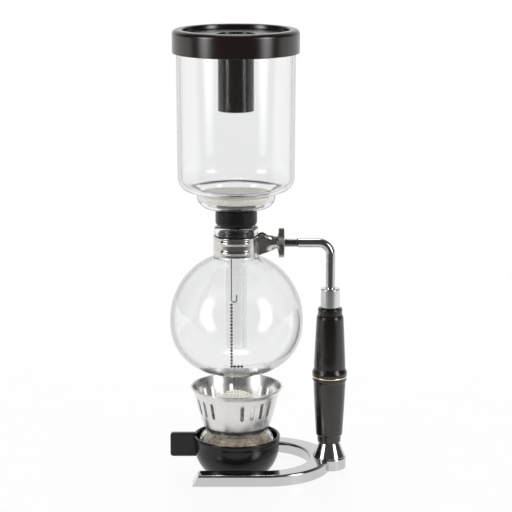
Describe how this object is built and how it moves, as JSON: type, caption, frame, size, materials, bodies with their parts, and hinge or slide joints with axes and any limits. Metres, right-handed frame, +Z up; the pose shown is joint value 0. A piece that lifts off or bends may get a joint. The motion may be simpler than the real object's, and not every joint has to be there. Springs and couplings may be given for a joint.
{
  "type": "siphon coffee brewer",
  "caption": "Glass siphon coffee brewer: lidded upper bowl with stem and cloth filter over a round bulb, clamped to a chrome stand, with a small spirit burner below.",
  "frame": {"origin": "on the table, under the middle of the whole object's box", "axes": "+Z up, +X from the glass axis to the handle column, -Y towards the viewer"},
  "size_m": [0.1355, 0.1008, 0.3373],
  "materials": {
    "chrome": "polished chrome plate, mirror bright",
    "satin_metal": "satin turned aluminium",
    "stainless": "thin stainless sheet, satin",
    "bright_steel": "bright stainless, small parts",
    "phenolic": "very dark brown polished phenolic",
    "gold": "pale gold plated ring",
    "lid_plastic": "dark espresso brown satin moulded plastic",
    "holder_plastic": "matte black heat-resistant plastic",
    "rubber": "black silicone rubber",
    "glass": "clear borosilicate glass",
    "cotton": "unbleached cotton flannel",
    "wick_cotton": "soft cream cotton"
  },
  "bodies": {
    "root": {"base": "chrome", "base_pads": "rubber", "base_screw": "bright_steel", "foot_cone": "chrome", "lower_grip": "phenolic", "grip_ring": "gold", "upper_grip": "phenolic", "handle_cap": "phenolic", "collar": "satin_metal", "arm_rod": "chrome", "ear_block": "bright_steel", "clamp_band": "stainless", "clamp_screw": "bright_steel", "clamp_nut": "bright_steel", "bulb": "glass"},
    "upper_bowl": {"upper_bowl": "glass", "bung": "rubber"},
    "filter": {"filter_plate": "stainless", "filter_cloth": "cotton", "drawstring": "cotton", "filter_rivet": "bright_steel", "filter_spring": "bright_steel", "pull_wire": "bright_steel", "bead_chain": "bright_steel"},
    "lid": {"lid": "lid_plastic"},
    "washer": {"lock_washer": "bright_steel"},
    "wheel": {"thumb_wheel": "bright_steel"},
    "burner": {"burner_holder": "holder_plastic", "lamp_pot": "glass"},
    "wick": {"wick_holder": "stainless", "wick": "wick_cotton"},
    "screen": {"wind_screen": "stainless"}
  },
  "joints": [
    {"name": "bowl_lift", "type": "slide", "parent": "root", "child": "upper_bowl", "axis": [0, 0, 1], "range_m": [0, 0.12]},
    {"name": "lid_lift", "type": "slide", "parent": "upper_bowl", "child": "lid", "axis": [0, 0, 1], "range_m": [0, 0.08]},
    {"name": "filter_lift", "type": "slide", "parent": "upper_bowl", "child": "filter", "axis": [0, 0, 1], "range_m": [0, 0.055]},
    {"name": "wheel_turn", "type": "hinge", "parent": "washer", "child": "wheel", "pos_m": [0.0153, 0, 0.1768], "axis": [1, 0, 0], "range_deg": [0, 720]},
    {"name": "washer_slide", "type": "slide", "parent": "root", "child": "washer", "axis": [1, 0, 0], "range_m": [0, 0.0033]},
    {"name": "burner_slide", "type": "slide", "parent": "root", "child": "burner", "axis": [-1, 0, 0], "range_m": [0, 0.12]},
    {"name": "wick_lift", "type": "slide", "parent": "burner", "child": "wick", "axis": [0, 0, 1], "range_m": [0, 0.006]},
    {"name": "screen_lift", "type": "slide", "parent": "burner", "child": "screen", "axis": [0, 0, 1], "range_m": [0, 0.012]}
  ],
  "couplings": [
    {"joint": "washer_slide", "follows": "wheel_turn", "m_per_rad": 0.00026261}
  ]
}
